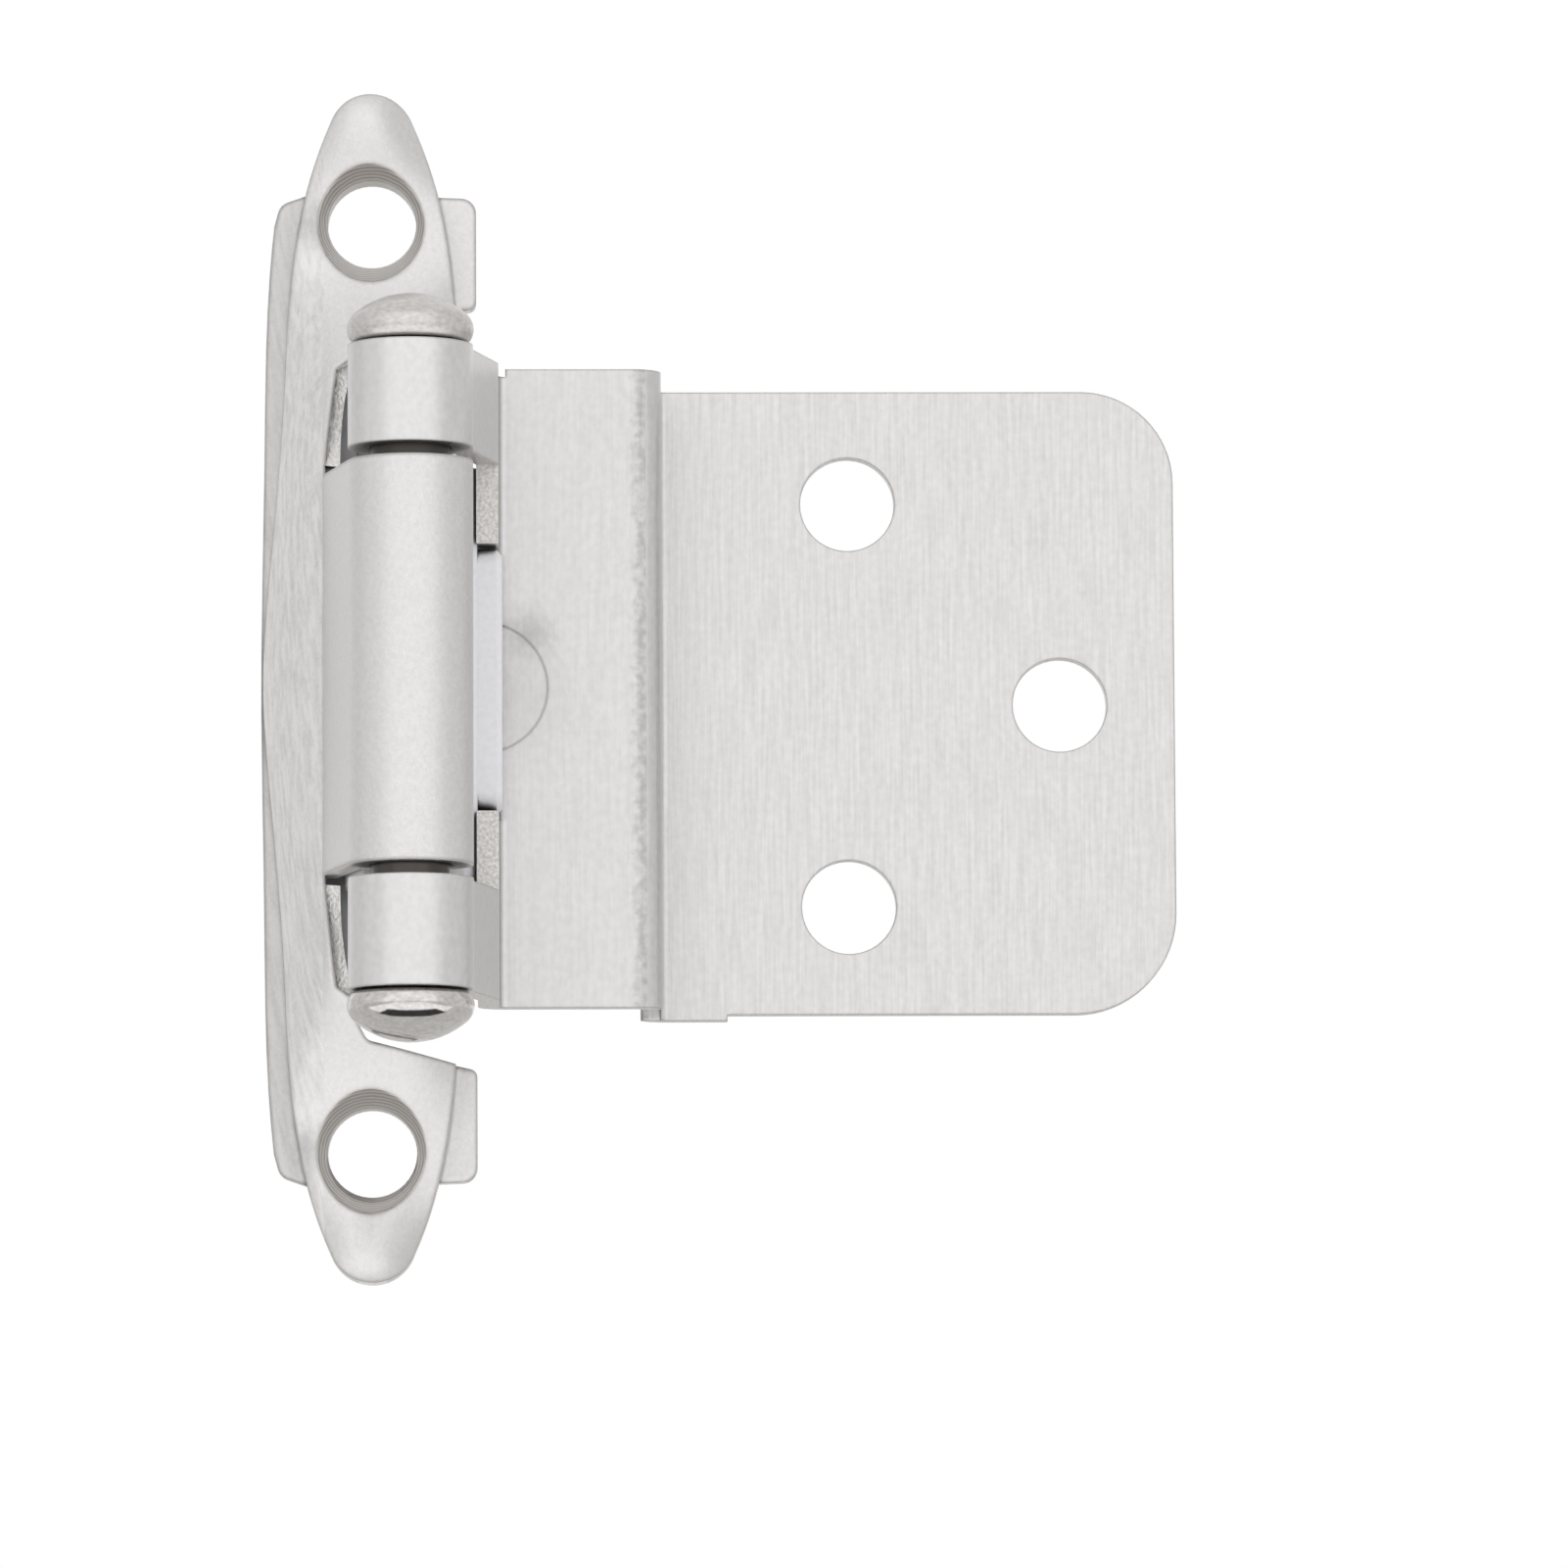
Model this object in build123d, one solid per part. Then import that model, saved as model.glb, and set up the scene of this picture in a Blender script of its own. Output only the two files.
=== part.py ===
from build123d import *
import os
from math import atan2, cos, hypot, sin, sqrt, tan

# Frame: X to the door side, Y back into the cabinet, Z up along the pin, millimetres.
# Y = 0 is the cabinet face; the origin lies midway between the two frame screws.

# Sheet and barrel
SHEET = 1.25
PIN_R = 2.3
PIN_FIT = 0.05
BORE_R = PIN_R + PIN_FIT
BARREL_R = BORE_R + SHEET
SEAM = 0.35
FRAME_SEAM_ANGLE = 75
DOOR_SEAM_ANGLE = 105
AXIS_X = 2.35
# Length of a cut that passes right through
THROUGH = 40.0

# Heights along the pin
LEAF_HALF = 34.9
DOOR_HALF = 18.8
CENTRE_HALF = 11.65
KNUCKLE_GAP = 0.75
END_FROM = CENTRE_HALF + KNUCKLE_GAP
# The upper knuckle and its strap end a little below the top of the narrow section
KNUCKLE_TRIM = 0.45
KNUCKLE_TOP = DOOR_HALF - KNUCKLE_TRIM

# Door leaf: strap, narrow section, 3/8 in step and screw plate
LIP_STEP = 9.525
FACE_GAP = 0.25
SECTION_Y = -(FACE_GAP + SHEET)
STRAP_REACH = 12.5
AXIS_Y = SECTION_Y - STRAP_REACH
PLATE_Y = SECTION_Y + LIP_STEP
STRAP_X = 7.4
FLARE_FROM = AXIS_Y + 1.7
FLARE_TO = AXIS_Y + 7.0
STEP_X = 16.95
PLATE_X = 47.6
BEND_R = 0.4
PLATE_CORNERS = {0: 6.0, -1: 5.5}
RELIEF = 0.8
PLATE_TRIM = 0.35
TRIM_FROM = 20.9
SHEAR_Y = -7.0
WINDOW_HALF = 7.8
DOOR_HOLE_R = 2.8
DOOR_PAIR_X = 28.15
DOOR_PAIR_Z = 12.05
DOOR_THIRD_X = 40.75
MARK_R = 3.85
MARK_X = 6.4
MARK_DEPTH = 0.06

# Frame leaf: flat flange, crowned spear-ended body
FRAME_HOLE_Z = 27.3
FRAME_HOLE_R = 2.6
SINK_SLOPE = 0.51
SINK_REACH = 8.0
SEAT_R = 4.0
HOLLOW_HALF = FRAME_HOLE_Z - SEAT_R
# For each end of the leaf: where the countersink starts, and how far it strays to the tip
SINKS = {1: (2.1, 0.0), -1: (2.0, 0.2)}
CROWN_SHIFT = -0.5
WEB_FOOT = (-2.75, -8.3)
WEB_SINK = 1.7
EAR_CUT = DOOR_HALF + 3.65
EAR_ROUND = 0.5
# Left edge of the opening for the barrel, from the centre knuckle past an end knuckle
OPENING = [
    (-2.65, END_FROM - 0.2),
    (-2.0, DOOR_HALF - 0.8),
    (-0.95, DOOR_HALF - 0.1),
    (-0.8, DOOR_HALF + 1.2),
    (-0.25, DOOR_HALF + 2.2),
]
OPENING_ROUND = 0.6
# Slanted edge where the shell was sheared off beside an end knuckle: its line on the crown and its run
EDGE = [(-2.65, -8.15, END_FROM - 0.2), (-2.0, -6.7, DOOR_HALF - 0.8)]
EDGE_RUN = 1.2
EDGE_RIGHT = -1.2

# Half width, border height and peak of the crowned body at heights along the pin
CROWN = [
    (0.0, 6.4, 2.0, 9.1),
    (12.0, 5.6, 2.0, 9.35),
    (21.0, 4.95, 3.0, 5.7),
    (28.0, 4.1, 2.8, 3.4),
    (36.0, 2.4, 1.4, 1.6),
]
BORDER_SPARE = 1.2
# Border of the body from the middle to the rounded tip
BORDER = [(6.35, 0.0), (5.97, 6.0), (5.06, 17.5), (4.77, 23.3), (3.68, 29.7), (2.42, 33.2), (0.0, LEAF_HALF)]
# Border of the flange on the left side, from the middle to the shoulder
FLANGE_LEFT = [(-6.5, 0.0), (-6.32, 13.0), (-6.0, 24.6), (-5.75, 27.3)]
FLANGE_SHOULDER = (-5.4, 28.6)
FLANGE_NECK = (-3.4, 29.3)
FLANGE_RIGHT = 6.1
FLANGE_TOP = 28.95
FLANGE_ROUND = 0.9

# Pin heads
HEAD_R = 3.65
HEAD_LIFT = 0.12
HEAD_LIP = 0.78
HEAD_TUCK = 0.35
HEAD_DOME = 2.1
HEAD_SHOULDER = 1.2

# Nylon cam
BARREL_CLEAR = 0.35
CAM_CLEAR = 0.15
CAM_HALF = END_FROM - CAM_CLEAR
CAM_FLAT_Y = -5.0
CAM_FRONT_Y = -10.4
CAM_LEFT = -1.5
NOSE_HALF = WINDOW_HALF - CAM_CLEAR
NOSE_FRONT_Y = -6.4
NOSE_BACK_Y = -2.0
NOSE_PAST = 0.2
NOSE_ROOT = 1.0
NOSE_ROUND = 1.2
NOSE_EDGE = 0.35
CAM_SHY = 0.6
CAM_BEVEL = (1.05, 2.0)

# Spring and its retainer
SPRING_T = 0.45
SPRING_HALF = 15.0
SPRING_X = (-0.9, 1.5)
RETAINER_BACK = 0.1
RETAINER_T = 0.8
RETAINER_RIGHT = 2.6
TONGUE_FROM = 19.0
TONGUE_RIGHT = -1.2
RETAINER_CLEAR = 0.3
RETAINER_HALF = HOLLOW_HALF - RETAINER_CLEAR

AXIS = (AXIS_X, AXIS_Y)


def front_prism(face, back, front):
    """A face drawn in X and Z, carried along Y from back to front."""
    return extrude(Plane.XZ.offset(-back) * face, back - front, dir=(0, -1, 0))


def round_corner(face, point, radius):
    """Rounds the one corner of a face nearest to a point."""
    corner = face.vertices().sort_by_distance(Vector(*point))[0]
    return fillet(corner, radius)


# Frame leaf
def crown_section(z, half, side, peak):
    """Parabola over the body's width, closed well behind the cabinet face."""
    reach = half + BORDER_SPARE
    low = (peak - side) * (reach / half) ** 2 - peak
    left, right = CROWN_SHIFT - reach, CROWN_SHIFT + reach
    arch = Bezier((left, low), (CROWN_SHIFT, -2 * peak - low), (right, low))
    back = Polyline((right, low), (right, THROUGH), (left, THROUGH), (left, low))
    return Plane.XY.offset(z) * make_face([arch, back])


def crowned_block(depth):
    rows = [(z, half - depth, side - depth, peak - depth) for z, half, side, peak in CROWN]
    rows = [(-z, *rest) for z, *rest in reversed(rows) if z > 0] + rows
    return loft([crown_section(*row) for row in rows])


def inset(points, amount):
    """Moves a border inward by an amount; the border is mirrored at both its ends."""
    ends = [(points[1][0], -points[1][1])] + points + [(-points[-2][0], points[-2][1])]
    moved = []
    for before, (x, z), after in zip(ends, points, ends[2:]):
        dx, dz = after[0] - before[0], after[1] - before[1]
        moved.append((x - amount * dz / hypot(dx, dz), z + amount * dx / hypot(dx, dz)))
    return moved


def body_border(amount):
    """Spear-ended outline: two bowed sides and a round tip at each end."""
    *upper, tip = inset(BORDER, amount)
    right = [(x, -z) for x, z in reversed(upper)] + upper[1:]
    left = [(-x, z) for x, z in right]
    top = ThreePointArc(right[-1], tip, left[-1])
    bottom = ThreePointArc(right[0], (0, -tip[1]), left[0])
    return make_face([Spline(*right), top, Spline(*left), bottom])


def flange_border():
    edge = [(x, -z) for x, z in reversed(FLANGE_LEFT)] + FLANGE_LEFT[1:]
    top = [edge[-1], FLANGE_SHOULDER, FLANGE_NECK, (FLANGE_RIGHT, FLANGE_TOP)]
    bottom = [(x, -z) for x, z in reversed(top)]
    face = make_face([Spline(*edge), Polyline(*top, *bottom)])
    for x, z in (top[1], top[-1], bottom[0], bottom[-2]):
        face = round_corner(face, (x, z), FLANGE_ROUND)
    return face


def barrel_opening():
    side = OPENING + [(FLANGE_RIGHT, EAR_CUT), (THROUGH, EAR_CUT)]
    below = [(x, -z) for x, z in side]
    face = make_face(Polyline(*reversed(side), *below, close=True))
    for corner in (OPENING[-1], below[len(OPENING) - 1]):
        face = round_corner(face, corner, OPENING_ROUND)
    return front_prism(face, SHEET, -THROUGH)


def sheared_edge():
    """Room behind the slanted edges, where the shell stays beside the end knuckles."""
    start, stop = [Vector(*point) for point in EDGE]
    along = stop - start
    slant = Plane(start, x_dir=along, z_dir=along.cross(Vector(EDGE_RUN, 1, 0)))
    behind = slant * Pos(0, 0, THROUGH / 2) * Box(THROUGH, THROUGH, THROUGH)
    tall = DOOR_HALF - start.Z
    beside = Pos(EDGE_RIGHT - THROUGH / 2, 0, start.Z + tall / 2) * Box(THROUGH, THROUGH, tall)
    upper = behind & beside
    return upper + mirror(upper, Plane.XY)


def barrel_ring(half, seam_angle):
    ring = Circle(BARREL_R) - Circle(BORE_R)
    slit = Rot(0, 0, seam_angle) * Pos(BARREL_R, 0) * Rectangle(2 * BARREL_R, SEAM)
    return extrude(Pos(*AXIS) * (ring - slit), half, both=True)


def web_profile():
    """Sheet that leaves the centre knuckle at a tangent and runs down to the body."""
    dx, dy = AXIS_X - WEB_FOOT[0], AXIS_Y - WEB_FOOT[1]
    reach = hypot(dx, dy)
    lean = atan2(-dy, dx) + atan2(BARREL_R, sqrt(reach**2 - BARREL_R**2))
    run = sqrt(reach**2 - BARREL_R**2)
    along = (cos(lean), -sin(lean))
    across = (sin(lean) * SHEET, cos(lean) * SHEET)
    low = (WEB_FOOT[0] - along[0] * WEB_SINK, WEB_FOOT[1] - along[1] * WEB_SINK)
    high = (WEB_FOOT[0] + along[0] * run, WEB_FOOT[1] + along[1] * run)
    corners = [low, high] + [(x + across[0], y + across[1]) for x, y in (high, low)]
    return make_face(Polyline(*corners, close=True))


def screw_hole(end):
    """Clearance hole that opens into a cone towards the front."""
    start, stray = SINKS[end]
    cone = Cone(FRAME_HOLE_R, FRAME_HOLE_R + SINK_SLOPE * SINK_REACH, SINK_REACH)
    cone = Pos(0, end * stray, start + SINK_REACH / 2) * cone
    return Rot(90, 0, 0) * (Cylinder(FRAME_HOLE_R, THROUGH) + cone)


def frame_leaf():
    outer = front_prism(body_border(0), 0, -THROUGH) & crowned_block(0)
    hollow = front_prism(body_border(SHEET), SHEET, -THROUGH) & crowned_block(SHEET)
    hollow &= Box(THROUGH, 2 * THROUGH, 2 * HOLLOW_HALF)
    flange = front_prism(flange_border(), 0, -SHEET)
    leaf = outer + flange - hollow - (barrel_opening() - sheared_edge())
    for end in SINKS:
        leaf -= Pos(0, 0, end * FRAME_HOLE_Z) * screw_hole(end)
        ear = Vector(FLANGE_RIGHT, -SHEET / 2, end * EAR_CUT)
        corner = leaf.edges().filter_by(Axis.Y).sort_by_distance(ear)[0]
        leaf = fillet(corner, EAR_ROUND)
    web = extrude(web_profile(), CENTRE_HALF, both=True)
    bore = Pos(*AXIS) * Cylinder(BORE_R, THROUGH)
    return leaf + (web - bore) + barrel_ring(CENTRE_HALF, FRAME_SEAM_ANGLE)


# Door leaf
def door_profile():
    lean = atan2(STRAP_X - AXIS_X - BARREL_R, FLARE_TO - FLARE_FROM)
    shift = SHEET * tan(lean / 2)
    outer_x = AXIS_X + BARREL_R
    back_y = SECTION_Y + SHEET
    front = [(outer_x, AXIS_Y), (outer_x, FLARE_FROM), (STRAP_X, FLARE_TO), (STRAP_X, SECTION_Y)]
    front += [(STEP_X, SECTION_Y), (STEP_X, PLATE_Y), (PLATE_X, PLATE_Y)]
    rear = [(PLATE_X, PLATE_Y + SHEET), (STEP_X - SHEET, PLATE_Y + SHEET), (STEP_X - SHEET, back_y)]
    rear += [(STRAP_X - SHEET, back_y), (STRAP_X - SHEET, FLARE_TO + shift)]
    rear += [(outer_x - SHEET, FLARE_FROM + shift), (outer_x - SHEET, AXIS_Y)]
    face = make_face(Polyline(*front, *rear, close=True))
    wide = BEND_R + SHEET
    turns = [(front[1], wide), (front[2], wide), (front[3], BEND_R), (front[4], wide), (front[5], BEND_R)]
    turns += [(rear[1], wide), (rear[2], BEND_R), (rear[3], wide), (rear[4], wide), (rear[5], wide)]
    for point, radius in turns:
        face = round_corner(face, point, radius)
    return face


def strap_window():
    """Punched opening that the cam stands in, cleared to the face of the narrow section."""
    past = STRAP_X + BEND_R
    corners = [(-THROUGH, -THROUGH), (past, -THROUGH), (past, SECTION_Y), (STRAP_X, SECTION_Y)]
    corners += [(STRAP_X, 0), (-THROUGH, 0)]
    return extrude(make_face(Polyline(*corners, close=True)), WINDOW_HALF, both=True)


def door_leaf():
    bore = Pos(*AXIS) * Cylinder(BORE_R, THROUGH)
    leaf = extrude(door_profile(), DOOR_HALF, both=True) - bore
    leaf += barrel_ring(DOOR_HALF, DOOR_SEAM_ANGLE)
    leaf -= Pos(0, SHEAR_Y - THROUGH / 2, 0) * Box(THROUGH, THROUGH, 2 * END_FROM)
    leaf -= strap_window()
    short = Box(THROUGH, THROUGH, 2 * KNUCKLE_TRIM)
    leaf -= Pos(STRAP_X + BEND_R - THROUGH / 2, -THROUGH / 2, DOOR_HALF) * short
    trim = Box(2 * (PLATE_X - TRIM_FROM), 4 * SHEET, 2 * PLATE_TRIM)
    leaf -= Pos(PLATE_X, PLATE_Y, -DOOR_HALF) * trim
    relief = Box(2 * SHEET, PLATE_Y, 2 * RELIEF)
    leaf -= Pos(STEP_X - SHEET, PLATE_Y / 2, -DOOR_HALF) * relief
    for end, radius in PLATE_CORNERS.items():
        tall = leaf.edges().filter_by(Axis.Y).group_by(Axis.X)[-1]
        leaf = fillet(tall.sort_by(Axis.Z)[end], radius)
    for x, z in [(DOOR_PAIR_X, DOOR_PAIR_Z), (DOOR_PAIR_X, -DOOR_PAIR_Z), (DOOR_THIRD_X, 0)]:
        leaf -= Pos(x, PLATE_Y, z) * Rot(90, 0, 0) * Cylinder(DOOR_HOLE_R, 4 * SHEET)
    mark = Pos(MARK_X, SECTION_Y, 0) * Rot(90, 0, 0) * Cylinder(MARK_R, 2 * MARK_DEPTH)
    keep = Pos(STRAP_X + MARK_R, SECTION_Y, 0) * Box(2 * MARK_R, SHEET, 4 * MARK_R)
    return leaf - (mark & keep)


# Pin
def pin_head():
    """Half section of a head above its seat: lip, shoulder and crown run into each other."""
    top = HEAD_LIP + HEAD_DOME
    rim = (HEAD_R, HEAD_LIP)
    seat = (HEAD_R - HEAD_TUCK, 0)
    radius = (HEAD_R**2 - 2 * HEAD_R * HEAD_SHOULDER + HEAD_DOME**2) / (2 * (HEAD_DOME - HEAD_SHOULDER))
    lean = Vector(HEAD_R - HEAD_SHOULDER, radius - HEAD_DOME).normalized()
    meet = Vector(0, top - radius) + lean * radius
    lip = TangentArc(rim, seat, tangent=(0, -1))
    shoulder = TangentArc(rim, meet, tangent=(0, 1))
    crown = TangentArc((0, top), meet, tangent=(1, 0))
    return make_face([lip, shoulder, crown, Polyline((0, top), (0, 0), seat)])


def hinge_pin():
    head = revolve(Plane.XZ * pin_head(), Axis.Z)
    low, high = -DOOR_HALF - HEAD_LIFT, KNUCKLE_TOP + HEAD_LIFT
    shank = Pos(0, 0, (low + high) / 2) * Cylinder(PIN_R, high - low)
    return Pos(*AXIS) * (shank + Pos(0, 0, high) * head + Pos(0, 0, low) * mirror(head, Plane.XY))


# Nylon cam
def nylon_cam():
    inner = STRAP_X - SHEET
    front = inner - CAM_SHY
    corners = [(CAM_LEFT, CAM_FLAT_Y), (inner, CAM_FLAT_Y), (inner, SHEAR_Y + CAM_SHY)]
    corners += [(front, SHEAR_Y), (front, CAM_FRONT_Y)]
    corners += [(CAM_LEFT + CAM_BEVEL[0], CAM_FRONT_Y), (CAM_LEFT, CAM_FLAT_Y - CAM_BEVEL[1])]
    face = make_face(Polyline(*corners, close=True)) - Pos(*AXIS) * Circle(BARREL_R + BARREL_CLEAR)
    body = extrude(face, CAM_HALF, both=True)
    nose = RectangleRounded(NOSE_BACK_Y - NOSE_FRONT_Y, 2 * NOSE_HALF, NOSE_ROUND)
    middle = (NOSE_FRONT_Y + NOSE_BACK_Y) / 2
    nose = extrude(Plane.YZ * nose, NOSE_ROOT + SHEET + NOSE_PAST, dir=(1, 0, 0))
    nose = Pos(inner - NOSE_ROOT, middle, 0) * nose
    nose = chamfer(nose.faces().sort_by(Axis.X)[-1].edges(), NOSE_EDGE)
    return body + nose


# Spring and retainer
def leaf_spring():
    foot = -(RETAINER_BACK + RETAINER_T)
    far = (-SPRING_HALF, foot), (0, CAM_FLAT_Y + SPRING_T), (SPRING_HALF, foot)
    near = [(z, y - SPRING_T) for z, y in far]
    outline = [ThreePointArc(*[(y, z) for z, y in far]), ThreePointArc(*[(y, z) for z, y in near])]
    outline += [Line((far[i][1], far[i][0]), (near[i][1], near[i][0])) for i in (0, 2)]
    left, right = SPRING_X
    return Pos(left, 0, 0) * extrude(Plane.YZ * make_face(outline), right - left, dir=(1, 0, 0))


def spring_retainer():
    outline = body_border(SHEET + RETAINER_CLEAR)
    plate = front_prism(outline, -RETAINER_BACK, -(RETAINER_BACK + RETAINER_T))
    tongues = Pos(TONGUE_RIGHT - THROUGH / 2, 0, 0) * Box(THROUGH, THROUGH, 2 * RETAINER_HALF)
    middle = Pos(RETAINER_RIGHT - THROUGH / 2, 0, 0) * Box(THROUGH, THROUGH, 2 * TONGUE_FROM)
    return plate & (tongues + middle)


os.makedirs("parts", exist_ok=True)
for piece in (frame_leaf, door_leaf, hinge_pin, nylon_cam, leaf_spring, spring_retainer):
    export_step(piece(), f"parts/{piece.__name__}.step")
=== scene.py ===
from math import pi, radians

import bpy
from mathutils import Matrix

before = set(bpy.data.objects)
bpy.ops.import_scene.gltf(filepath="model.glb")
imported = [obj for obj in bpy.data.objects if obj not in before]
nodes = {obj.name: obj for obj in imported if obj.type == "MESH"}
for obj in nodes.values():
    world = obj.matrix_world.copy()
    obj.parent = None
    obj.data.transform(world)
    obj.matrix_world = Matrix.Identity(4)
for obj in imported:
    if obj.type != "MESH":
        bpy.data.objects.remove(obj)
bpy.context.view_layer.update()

# Lengths are metres in the hinge's own frame: X to the door, Y into the cabinet, Z up the pin
MM = 0.001
# Detail of the noise, and the range that it mostly stays in
NOISE_DETAIL = 2.0
NOISE_RANGE = (0.3, 0.7)


def linear(colour):
    """An sRGB hex colour as linear red, green, blue and a full alpha."""
    parts = [int(colour[i : i + 2], 16) / 255 for i in (1, 3, 5)]
    return [p / 12.92 if p <= 0.04045 else ((p + 0.055) / 1.055) ** 2.4 for p in parts] + [1.0]


def add(tree, kind, inputs=None, **settings):
    """Adds one shader node, with its settings and with values or links for its inputs.

    A Mix node takes its factor at 0, numbers at 2 and 3, vectors at 4 and 5 and colours at 6 and 7.
    """
    made = tree.nodes.new("ShaderNode" + kind)
    for name, value in settings.items():
        setattr(made, name, value)
    for socket, value in (inputs or {}).items():
        if isinstance(value, bpy.types.NodeSocket):
            tree.links.new(value, made.inputs[socket])
        else:
            made.inputs[socket].default_value = value
    return made


def new_material(name):
    material = bpy.data.materials.new(name)
    material.use_nodes = True
    material.node_tree.nodes.clear()
    return material, material.node_tree


def grain(tree, size_mm, slant_deg, weight, only=None):
    """Uneven marks of a size in mm along X, Y and Z, slanted in the leaf's face; gives 0 to weight."""
    place = add(tree, "TexCoord").outputs["Object"]
    slant = add(tree, "Mapping", {"Vector": place, "Rotation": (0, radians(slant_deg), 0)}).outputs[0]
    sized = add(tree, "Mapping", {"Vector": slant, "Scale": [1 / (s * MM) for s in size_mm]}).outputs[0]
    marks = add(tree, "TexNoise", {"Vector": sized, "Scale": 1.0, "Detail": NOISE_DETAIL}).outputs[0]
    spread = {"Value": marks, "From Min": NOISE_RANGE[0], "From Max": NOISE_RANGE[1], "To Max": weight}
    marks = add(tree, "MapRange", spread).outputs[0]
    if only:
        marks = add(tree, "Mix", {0: where(tree, only), 2: weight / 2, 3: marks}).outputs[0]
    return marks


def where(tree, groups):
    """1 where all tests of any one group hold; a test is place or facing, its axis, a middle and a reach."""
    coordinates = add(tree, "TexCoord").outputs
    total = None
    for group in groups:
        inside = None
        for source, axis, middle, reach in group:
            value = add(tree, "SeparateXYZ", {0: coordinates[source]}).outputs[axis]
            test = add(tree, "Math", {0: value, 1: middle, 2: reach}, operation="COMPARE").outputs[0]
            if inside is not None:
                test = add(tree, "Math", {0: inside, 1: test}, operation="MULTIPLY").outputs[0]
            inside = test
        if total is not None:
            inside = add(tree, "Math", {0: total, 1: inside}, operation="MAXIMUM").outputs[0]
        total = inside
    return total


# Bare steel where the sheet was sheared: a little duller than the plate, and torn into a coarse grain
SHEARED = ("#B4B0AD", "#DEDBD8")
# The same torn steel on the shell, painted lighter than it is: painted light on the edge beside the end knuckles
SHELL_EDGE_PAINTED_LIGHT = ("#D6D3D0", "#F8F6F4")
SHEARED_ROUGH = 0.45
SHEARED_GRAIN = 0.2
# Painted shade: a dark tone mixed in where ambient occlusion finds a gap about a millimetre wide
GAP_PAINTED_SHADE = "#3A3633"
GAP_REACH = 1.2
GAP_SHADE = (0.15, 0.5)
GAP_SAMPLES = 8
# Painted shade along edges: a darker tone mixed in where the rounded edge's normal turns away from the face
EDGE_SHADE_TONE = "#918D8A"
EDGE_TURN = (0.98, 0.75)
EDGE_SHADE_SHARE = 0.6
EDGE_SAMPLES = 6
# Countersinks, turned after forming: darker, with rings drawn coarser than the cutter's, so that they show;
# the holes' distance from the middle and the reach of the cone are in mm
TURNED = ("#A6A19D", "#CFCBC8")
TURNED_PITCH = 0.3
TURNED_WOBBLE = 2.0
TURNED_HOLE = 27.3
TURNED_REACH = 3.75
TURNED_WALL = [[("Normal", 1, 0.0, 0.8)]]

# Ends of knuckles and leaves, square to the pin
ENDS = [[("Normal", 2, 1.0, 0.05)], [("Normal", 2, -1.0, 0.05)]]
# Slanted edge of the shell beside the end knuckles
SHELL_EDGE = [[("Normal", 0, 0.7, 0.35), ("Object", 0, -2.0 * MM, 1.0 * MM), ("Object", 2, 0.0, 20 * MM)]]
# Front edge of the strap on each side of its window
STRAP_EDGE = [[("Normal", 1, -1.0, 0.1), ("Object", 1, -7.0 * MM, 0.05 * MM)]]
# Front of the frame leaf's left flank, and the door leaf's knuckles, flat sheet beyond the strap and screw plate
FLANK = [[("Object", 0, -5.0 * MM, 2.2 * MM), ("Normal", 1, -0.6, 0.65)]]
KNUCKLES = [[("Object", 0, 2.0 * MM, 5.4 * MM)]]
FLAT_SHEET = [[("Object", 0, 30.0 * MM, 22.4 * MM)]]
SCREW_PLATE = [[("Object", 1, 8.5 * MM, 1.5 * MM)]]
# Darker patches as X and Z in mm, their reach in mm and the share of the light left in the middle; with no Z the
# patch runs the whole height. Round the pressed mark the section is darker; along the bend of the step and left
# of each screw hole the patches are painted shade
MARK_DARKENING_AND_BEND_SHADE = [(9.2, 3.2, 2.6, 0.72), (8.2, -0.5, 6.0, 0.9), (15.75, None, 1.0, 0.66)]
HOLE_PAINTED_SHADE = [(-4.1, 27.3, 2.8, 0.72), (-4.1, -27.3, 2.8, 0.76)]
PATCH_FRAY = 0.6
PATCH_GRAIN = 0.5
# Faces to the front, and faces that lean away from it
FRONT = [[("Normal", 1, -1.0, 0.1)]]
TILTED = [[("Normal", 1, -0.8, 0.18)]]


def open_air(tree):
    """0 deep in a tight gap, 1 on open faces."""
    shade = add(tree, "AmbientOcclusion", {"Distance": GAP_REACH * MM}, samples=GAP_SAMPLES).outputs["AO"]
    span = {"Value": shade, "From Min": GAP_SHADE[0], "From Max": GAP_SHADE[1]}
    return add(tree, "MapRange", span).outputs[0]


def turned_cone(tree):
    """1 on the walls of the two countersinks, and the rings that the cutter left on them."""
    coordinates = add(tree, "TexCoord").outputs
    place = add(tree, "VectorMath", {0: coordinates["Object"]}, operation="ABSOLUTE").outputs[0]
    place = add(tree, "VectorMath", {0: place, 1: (1, 0, 1)}, operation="MULTIPLY").outputs[0]
    away = {0: place, 1: (0, 0, TURNED_HOLE * MM)}
    away = add(tree, "VectorMath", away, operation="DISTANCE").outputs["Value"]
    near = add(tree, "Math", {0: away, 1: TURNED_REACH * MM}, operation="LESS_THAN").outputs[0]
    steep = where(tree, TURNED_WALL)
    # A wave texture of scale 1 repeats every 0.1 pi
    scale = 0.1 * pi / (TURNED_PITCH * MM)
    rings = {"Vector": coordinates["Object"], "Scale": scale, "Distortion": TURNED_WOBBLE}
    rings = add(tree, "TexWave", rings, bands_direction="Y").outputs[1]
    return add(tree, "Math", {0: near, 1: steep}, operation="MULTIPLY").outputs[0], rings


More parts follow.
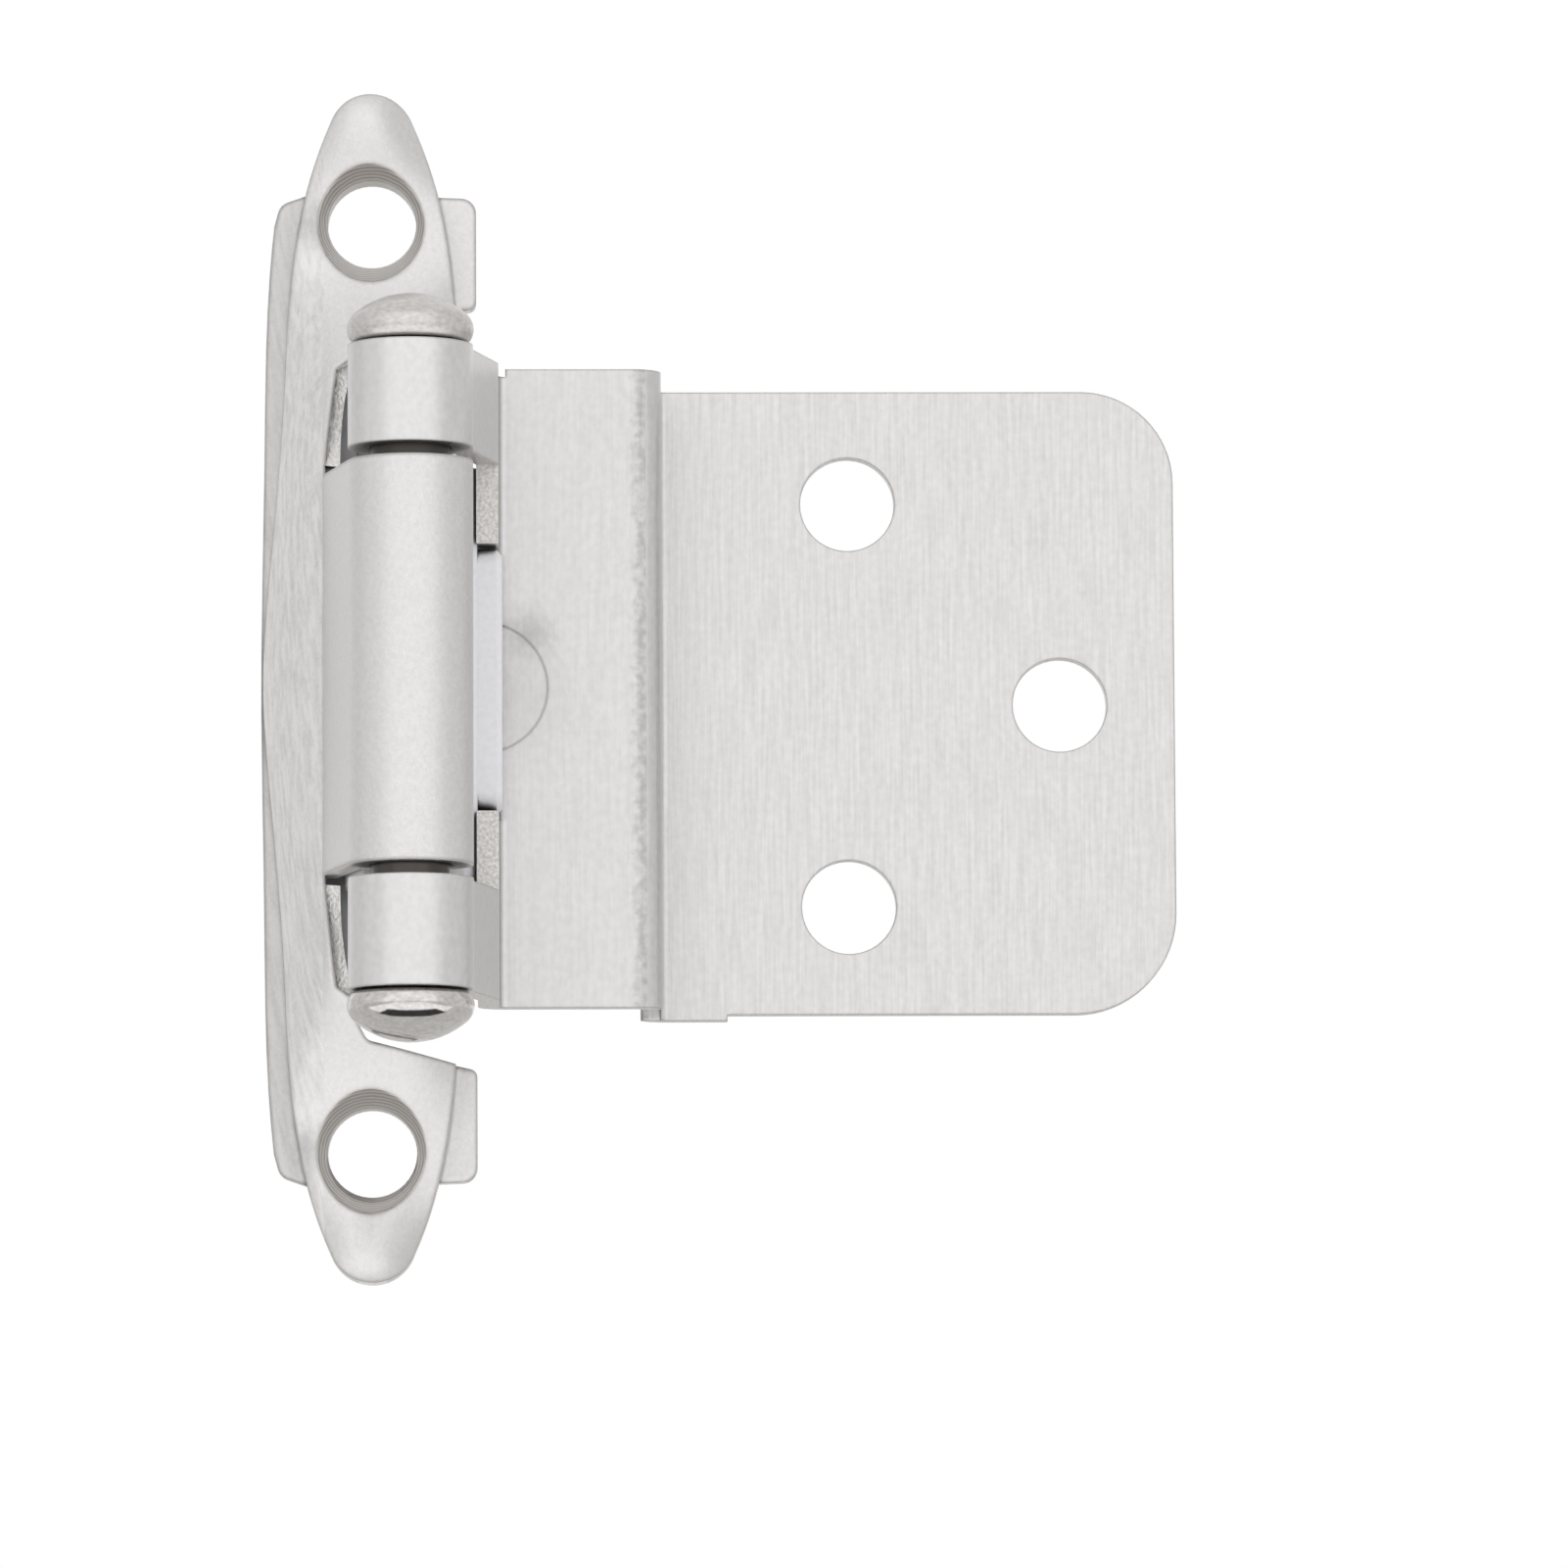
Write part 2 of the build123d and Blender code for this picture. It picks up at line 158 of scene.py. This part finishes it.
def darken_patches(tree, shade, dark_patches, faces):
    """The shade, darker round the given patches on the named faces."""
    coordinates = add(tree, "TexCoord").outputs["Object"]
    fray = grain(tree, [PATCH_GRAIN] * 3, 0, PATCH_FRAY * MM)
    faces = where(tree, faces)
    for x, z, reach, share in dark_patches:
        across = {0: coordinates, 1: (1, 0, 0) if z is None else (1, 0, 1)}
        place = add(tree, "VectorMath", across, operation="MULTIPLY").outputs[0]
        away = {0: place, 1: (x * MM, 0, (z or 0) * MM)}
        away = add(tree, "VectorMath", away, operation="DISTANCE").outputs["Value"]
        away = add(tree, "Math", {0: away, 1: fray}, operation="ADD").outputs[0]
        fade = {"Value": away, "From Min": 0.0, "From Max": reach * MM, "To Min": share, "To Max": 1.0}
        fade = add(tree, "MapRange", fade, interpolation_type="SMOOTHSTEP").outputs[0]
        fade = add(tree, "Mix", {0: faces, 2: 1.0, 3: fade}).outputs[0]
        shade = add(tree, "VectorMath", {0: shade, 3: fade}, operation="SCALE").outputs[0]
    return shade


def plated_metal(
    name, dark, light, marks, gloss, relief_mm, edge_mm,
    sheared=(), bare=SHEARED, rolled=None, turned=False, painted_light_tones=(), dark_patches=(), faces=(),
):
    """Metal whose shade, gloss and relief follow the same marks, with edges worn a little round and painted
    darker along them: painted shade.

    Sheared faces show bare steel and reflect along rolled; a painted light tone scales the shade of a group by
    how far it faces the front; darker patches, mostly painted shade, lie on the given faces; tight gaps get
    painted shade.
    """
    material, tree = new_material(name)
    total = grain(tree, *marks[0])
    for mark in marks[1:]:
        total = add(tree, "Math", {0: total, 1: grain(tree, *mark)}, operation="ADD").outputs[0]
    tones_of_metal = {0: total, 6: linear(dark), 7: linear(light)}
    shade = add(tree, "Mix", tones_of_metal, data_type="RGBA").outputs[2]
    front = add(tree, "SeparateXYZ", {0: add(tree, "TexCoord").outputs["Normal"]}).outputs["Y"]
    for groups, facing, share in painted_light_tones:
        facing = {"Value": front, "From Min": facing[0], "From Max": facing[1], "To Min": 1.0, "To Max": share}
        share = add(tree, "MapRange", facing).outputs[0]
        share = add(tree, "Mix", {0: where(tree, groups), 2: 1.0, 3: share}).outputs[0]
        shade = add(tree, "VectorMath", {0: shade, 3: share}, operation="SCALE").outputs[0]
    if dark_patches:
        shade = darken_patches(tree, shade, dark_patches, faces)
    rough = add(tree, "MapRange", {"Value": total, "To Min": gloss[0], "To Max": gloss[1]}).outputs[0]
    unshaded = open_air(tree)
    edge = add(tree, "Bevel", {"Radius": edge_mm * MM}, samples=EDGE_SAMPLES).outputs[0]
    flat = add(tree, "NewGeometry").outputs["Normal"]
    turn = add(tree, "VectorMath", {0: edge, 1: flat}, operation="DOT_PRODUCT").outputs["Value"]
    # Painted shade: a darker tone along the rounded edges
    edge_shaded = {"Value": turn, "From Min": EDGE_TURN[0], "From Max": EDGE_TURN[1], "To Max": EDGE_SHADE_SHARE}
    edge_shaded = {0: add(tree, "MapRange", edge_shaded).outputs[0], 6: shade, 7: linear(EDGE_SHADE_TONE)}
    shade = add(tree, "Mix", edge_shaded, data_type="RGBA").outputs[2]
    if sheared:
        torn = grain(tree, [SHEARED_GRAIN] * 3, 0, 1.0)
        cut = where(tree, ENDS + sheared)
        steel = {0: torn, 6: linear(bare[0]), 7: linear(bare[1])}
        steel = add(tree, "Mix", steel, data_type="RGBA").outputs[2]
        shade = add(tree, "Mix", {0: cut, 6: shade, 7: steel}, data_type="RGBA").outputs[2]
        rough = add(tree, "Mix", {0: cut, 2: rough, 3: SHEARED_ROUGH}).outputs[0]
        total = add(tree, "Mix", {0: cut, 2: total, 3: torn}).outputs[0]
        edges = where(tree, sheared)
        unshaded = add(tree, "Math", {0: unshaded, 1: edges}, operation="MAXIMUM").outputs[0]
        spaces = {"vector_type": "NORMAL", "convert_from": "OBJECT", "convert_to": "WORLD"}
        rolled = add(tree, "VectorTransform", {0: rolled}, **spaces).outputs[0]
        edge = add(tree, "Mix", {0: edges, 4: edge, 5: rolled}, data_type="VECTOR").outputs[1]
    if turned:
        cone, rings = turned_cone(tree)
        steel = {0: rings, 6: linear(TURNED[0]), 7: linear(TURNED[1])}
        steel = add(tree, "Mix", steel, data_type="RGBA").outputs[2]
        shade = add(tree, "Mix", {0: cone, 6: shade, 7: steel}, data_type="RGBA").outputs[2]
    # Painted shade: a dark tone in tight gaps
    shade = add(tree, "Mix", {0: unshaded, 6: linear(GAP_PAINTED_SHADE), 7: shade}, data_type="RGBA").outputs[2]
    relief = add(tree, "Bump", {"Height": total, "Distance": relief_mm * MM, "Normal": edge}).outputs[0]
    inputs = {"Base Color": shade, "Metallic": 1.0, "Roughness": rough, "Normal": relief}
    surface = add(tree, "BsdfPrincipled", inputs).outputs[0]
    add(tree, "OutputMaterial", {"Surface": surface})
    return material


# Nickel plate over a tumbled steel stamping: pale grey, blurred reflections and slanted drag marks on the
# flank; the tumbling grain is drawn coarser than it is, so that it shows
satin_nickel = plated_metal(
    "satin_nickel_plate",
    dark="#C0BDBC",
    light="#D9D7D6",
    marks=[
        ((0.3, 0.3, 0.35), 0, 0.3),
        ((0.13, 0.13, 0.13), 0, 0.3),
        ((0.35, 0.35, 3.0), 12, 0.8, FLANK),
    ],
    gloss=(0.34, 0.44),
    relief_mm=0.01,
    edge_mm=0.5,
    sheared=SHELL_EDGE,
    bare=SHELL_EDGE_PAINTED_LIGHT,
    rolled=(-0.25, -0.97, 0.0),
    turned=True,
    # Painted light: the flange's front faces painted darker and the tilted flank lighter; painted shade left of
    # each screw hole
    painted_light_tones=[(FLANK, (-0.97, -1.0), 0.8), (FLANK, (-0.9, -0.6), 1.13)],
    dark_patches=HOLE_PAINTED_SHADE,
    faces=TILTED,
)

# The same plate over sheet brushed upright before bending: short soft lines along the pin, drawn 0.2 mm wide,
# which is coarser than the brush left them, so that they show
brushed_nickel = plated_metal(
    "brushed_nickel_plate",
    dark="#BEBDBC",
    light="#D4D2D2",
    marks=[
        ((0.4, 0.4, 0.5), 0, 0.4),
        ((0.2, 0.2, 4.0), 0, 0.3, FLAT_SHEET),
        ((0.2, 0.2, 4.0), 0, 0.3, SCREW_PLATE),
    ],
    gloss=(0.28, 0.38),
    relief_mm=0.006,
    edge_mm=0.25,
    sheared=STRAP_EDGE,
    rolled=(0.0, -1.0, 0.0),
    # Painted light: the knuckles painted a little lighter; darker round the pressed mark and painted shade along
    # the bend of the step
    painted_light_tones=[(KNUCKLES, (1.0, 0.9), 1.06)],
    dark_patches=MARK_DARKENING_AND_BEND_SHADE,
    faces=FRONT,
)


# Tumbled heads and a shank painted dark as painted shade where it shows in the gaps between knuckles; the marks
# are drawn coarser than they are, and lengths are in mm
PIN_TONES = ("#BBB7B5", "#D0CDCB")
PIN_SHANK_SHADE = "#4A4643"
PIN_SHANK = [[("Object", 2, -0.2 * MM, 18.65 * MM)]]
PIN_MARKS = (0.35, 0.35, 0.2)
PIN_END = 20
PIN_GLOSS = (0.1, 0.36)
PIN_EDGE = 0.2
PIN_RELIEF = 0.0006


def pin_nickel():
    """Nickel on a headed pin: the upper head left satin, the lower burnished in closing, the shank painted dark:
    painted shade.
    """
    material, tree = new_material("headed_pin_nickel")
    height = add(tree, "SeparateXYZ", {0: add(tree, "TexCoord").outputs["Object"]}).outputs["Z"]
    marks = grain(tree, PIN_MARKS, 0, 1.0)
    nickel = {0: marks, 6: linear(PIN_TONES[0]), 7: linear(PIN_TONES[1])}
    nickel = add(tree, "Mix", nickel, data_type="RGBA").outputs[2]
    # Painted shade on the shank, which shows only in the gaps between knuckles
    shank_shade = {0: where(tree, PIN_SHANK), 6: nickel, 7: linear(PIN_SHANK_SHADE)}
    shade = add(tree, "Mix", shank_shade, data_type="RGBA").outputs[2]
    closing = {"Value": height, "From Min": -PIN_END * MM, "From Max": PIN_END * MM}
    closing |= {"To Min": PIN_GLOSS[0], "To Max": PIN_GLOSS[1]}
    rough = add(tree, "MapRange", closing).outputs[0]
    edge = add(tree, "Bevel", {"Radius": PIN_EDGE * MM}, samples=EDGE_SAMPLES).outputs[0]
    relief = add(tree, "Bump", {"Height": marks, "Distance": PIN_RELIEF * MM, "Normal": edge}).outputs[0]
    inputs = {"Base Color": shade, "Metallic": 1.0, "Roughness": rough, "Normal": relief}
    surface = add(tree, "BsdfPrincipled", inputs).outputs[0]
    add(tree, "OutputMaterial", {"Surface": surface})
    return material


# Hardened and tempered strip: grey brown, with rolling lines along its length drawn coarse enough to show
spring_steel = plated_metal(
    "tempered_spring_steel",
    dark="#6F6A65",
    light="#8A857F",
    marks=[((0.1, 0.1, 5.0), 0, 1.0)],
    gloss=(0.28, 0.4),
    relief_mm=0.003,
    edge_mm=0.08,
)

# Zinc plated sheet: grey, slightly cloudy, with rolling lines drawn coarse enough to show
zinc_plate = plated_metal(
    "zinc_plated_steel",
    dark="#B2B3B4",
    light="#C6C7C8",
    marks=[((1.2, 1.2, 1.2), 0, 0.7), ((0.15, 0.15, 4.0), 0, 0.3)],
    gloss=(0.3, 0.45),
    relief_mm=0.004,
    edge_mm=0.12,
)


# The spark texture of the mould is drawn coarser than it is, so that it shows
NYLON_TONES = ("#ECECF0", "#F2F2F5")
NYLON_SPARK = 0.3
NYLON_EDGE = 0.3
NYLON_RELIEF = 0.008


def moulded_nylon():
    """Moulded nylon: milky white, light sinks in a little, a satin skin with a very fine spark texture."""
    material, tree = new_material("white_moulded_nylon")
    skin = grain(tree, [NYLON_SPARK] * 3, 0, 1.0)
    milky = {0: skin, 6: linear(NYLON_TONES[0]), 7: linear(NYLON_TONES[1])}
    milky = add(tree, "Mix", milky, data_type="RGBA").outputs[2]
    # Painted shade: a dark tone in tight gaps
    gap_shaded = {0: open_air(tree), 6: linear(GAP_PAINTED_SHADE), 7: milky}
    shade = add(tree, "Mix", gap_shaded, data_type="RGBA").outputs[2]
    edge = add(tree, "Bevel", {"Radius": NYLON_EDGE * MM}, samples=EDGE_SAMPLES).outputs[0]
    relief = add(tree, "Bump", {"Height": skin, "Distance": NYLON_RELIEF * MM, "Normal": edge}).outputs[0]
    inputs = {"Base Color": shade, "Roughness": 0.42, "IOR": 1.53, "Normal": relief}
    inputs |= {"Subsurface Weight": 0.25, "Subsurface Radius": (1.0, 0.9, 0.8), "Subsurface Scale": 0.6 * MM}
    surface = add(tree, "BsdfPrincipled", inputs).outputs[0]
    add(tree, "OutputMaterial", {"Surface": surface})
    return material


finishes = {
    "frame_leaf": satin_nickel,
    "door_leaf": brushed_nickel,
    "hinge_pin": pin_nickel(),
    "nylon_cam": moulded_nylon(),
    "leaf_spring": spring_steel,
    "spring_retainer": zinc_plate,
}
for name, finish in finishes.items():
    slots = nodes[name].data.materials
    for i in range(len(slots)):
        slots[i] = finish

# Studio: white all round, one broad soft box behind the camera, a pale floor well below the hinge,
# a glowing card at each side, a bounce card on the floor and a small dark flag just under the lower
# pin head, these four seen only in reflections
FLOOR_Z = -0.1
FLOOR_HALF = 1.5
FLOOR_TONE = "#F2F2F0"
LAMP_WIDE = 3.8
LAMP_TALL = 2.8
LAMP_X = 0.02
LAMP_BACK = 1.6
LAMP_POWER = 10.9
SOFT_FILL = 0.8
CARD_X = 0.45
CARD_Y = {-1: (0.02, 0.5), 1: (-0.22, 0.5)}
CARD_TOP = 0.6
CARD_TONES = {-1: "#ECECEC", 1: "#F0F0F0"}
FLAG_X = (-0.005, 0.011)
FLAG_Y = (-0.0228, -0.0172)
FLAG_Z = -0.0265
FLAG_TONE = "#4A4A4A"
BOUNCE_HALF = 0.25
BOUNCE_Y = (-0.55, -0.035)
BOUNCE_GLOW = 1.38
LIFT = 0.001
FIBRE_MM = 6.0
FIBRE_LOW = 0.97
WHITE = "#FFFFFF"


def studio_sheet(name, corners, colour, glow=0.0):
    """A sheet of paper with a faint fibre, drawn coarse, which is no part of the hinge."""
    mesh = bpy.data.meshes.new(name)
    mesh.from_pydata(corners, [], [(0, 1, 2, 3)])
    sheet = bpy.data.objects.new(name, mesh)
    bpy.context.scene.collection.objects.link(sheet)
    material, tree = new_material(name + "_paper")
    fibre = {"Value": grain(tree, [FIBRE_MM] * 3, 0, 1.0), "To Min": FIBRE_LOW, "To Max": 1.0}
    fibre = add(tree, "MapRange", fibre).outputs[0]
    tone = {0: 1.0, 6: linear(colour), 7: fibre}
    tone = add(tree, "Mix", tone, data_type="RGBA", blend_type="MULTIPLY").outputs[2]
    if glow:
        surface = add(tree, "Emission", {"Color": tone, "Strength": glow}).outputs[0]
    else:
        matt = {"Base Color": tone, "Roughness": 0.9, "Specular IOR Level": 0.0}
        surface = add(tree, "BsdfPrincipled", matt).outputs[0]
    add(tree, "OutputMaterial", {"Surface": surface})
    mesh.materials.append(material)
    return sheet


def rectangle(low, high):
    return [(low[0], low[1]), (high[0], low[1]), (high[0], high[1]), (low[0], high[1])]


ground = rectangle((-FLOOR_HALF, -FLOOR_HALF), (FLOOR_HALF, FLOOR_HALF))
studio_sheet("floor", [(x, y, FLOOR_Z) for x, y in ground], FLOOR_TONE)
hidden = []
for side, tone in CARD_TONES.items():
    upright = rectangle((CARD_Y[side][0], FLOOR_Z), (CARD_Y[side][1], CARD_TOP))
    name = "left_card" if side < 0 else "right_card"
    hidden.append(studio_sheet(name, [(side * CARD_X, y, z) for y, z in upright], tone, glow=1.0))
# The dark flag hangs where nothing stands, only to put a dark crescent reflection on the lower pin head
flag = rectangle((FLAG_X[0], FLAG_Y[0]), (FLAG_X[1], FLAG_Y[1]))
hidden.append(studio_sheet("black_flag", [(x, y, FLAG_Z) for x, y in flag], FLAG_TONE))
bounce = rectangle((-BOUNCE_HALF, BOUNCE_Y[0]), (BOUNCE_HALF, BOUNCE_Y[1]))
bounce = [(x, y, FLOOR_Z + LIFT) for x, y in bounce]
hidden.append(studio_sheet("bounce_card", bounce, WHITE, glow=BOUNCE_GLOW))
for sheet in hidden:
    sheet.visible_camera = sheet.visible_diffuse = sheet.visible_shadow = False

lamp = bpy.data.lights.new("soft_box", "AREA")
lamp.shape = "RECTANGLE"
lamp.size, lamp.size_y = LAMP_WIDE, LAMP_TALL
lamp.energy = LAMP_POWER
soft_box = bpy.data.objects.new("soft_box", lamp)
soft_box.location = (LAMP_X, -LAMP_BACK, FLOOR_Z + LAMP_TALL / 2)
soft_box.rotation_euler = (radians(90), 0, 0)
bpy.context.scene.collection.objects.link(soft_box)

world = bpy.data.worlds.new("white_studio")
bpy.context.scene.world = world
world.use_nodes = True
tree = world.node_tree
tree.nodes.clear()
path = add(tree, "LightPath").outputs
seen = add(tree, "Math", {0: path["Is Camera Ray"], 1: path["Is Glossy Ray"]}, operation="MAXIMUM").outputs[0]
seen = add(tree, "Math", {0: seen, 1: path["Is Transmission Ray"]}, operation="MAXIMUM").outputs[0]
fill = add(tree, "Background", {"Color": linear(WHITE), "Strength": SOFT_FILL}).outputs[0]
white = add(tree, "Background", {"Color": linear(WHITE), "Strength": 1.0}).outputs[0]
sky = add(tree, "MixShader", {0: seen, 1: fill, 2: white}).outputs[0]
add(tree, "OutputWorld", {"Surface": sky})

# Camera: a long lens a little below the hinge, left of its middle and turned slightly to the right
CAMERA_SENSOR = 36.0
CAMERA_LENS = 233.854
CAMERA_PLACE = (0.0079357, -0.593724, -0.06841)
CAMERA_TURN = (96.0417, 0.27544, -1.5298)
camera_data = bpy.data.cameras.new("camera")
camera_data.sensor_width = CAMERA_SENSOR
camera_data.lens = CAMERA_LENS
camera = bpy.data.objects.new("camera", camera_data)
camera.location = CAMERA_PLACE
camera.rotation_euler = [radians(a) for a in CAMERA_TURN]
bpy.context.scene.collection.objects.link(camera)
bpy.context.scene.camera = camera

bpy.context.scene.view_settings.view_transform = "Standard"
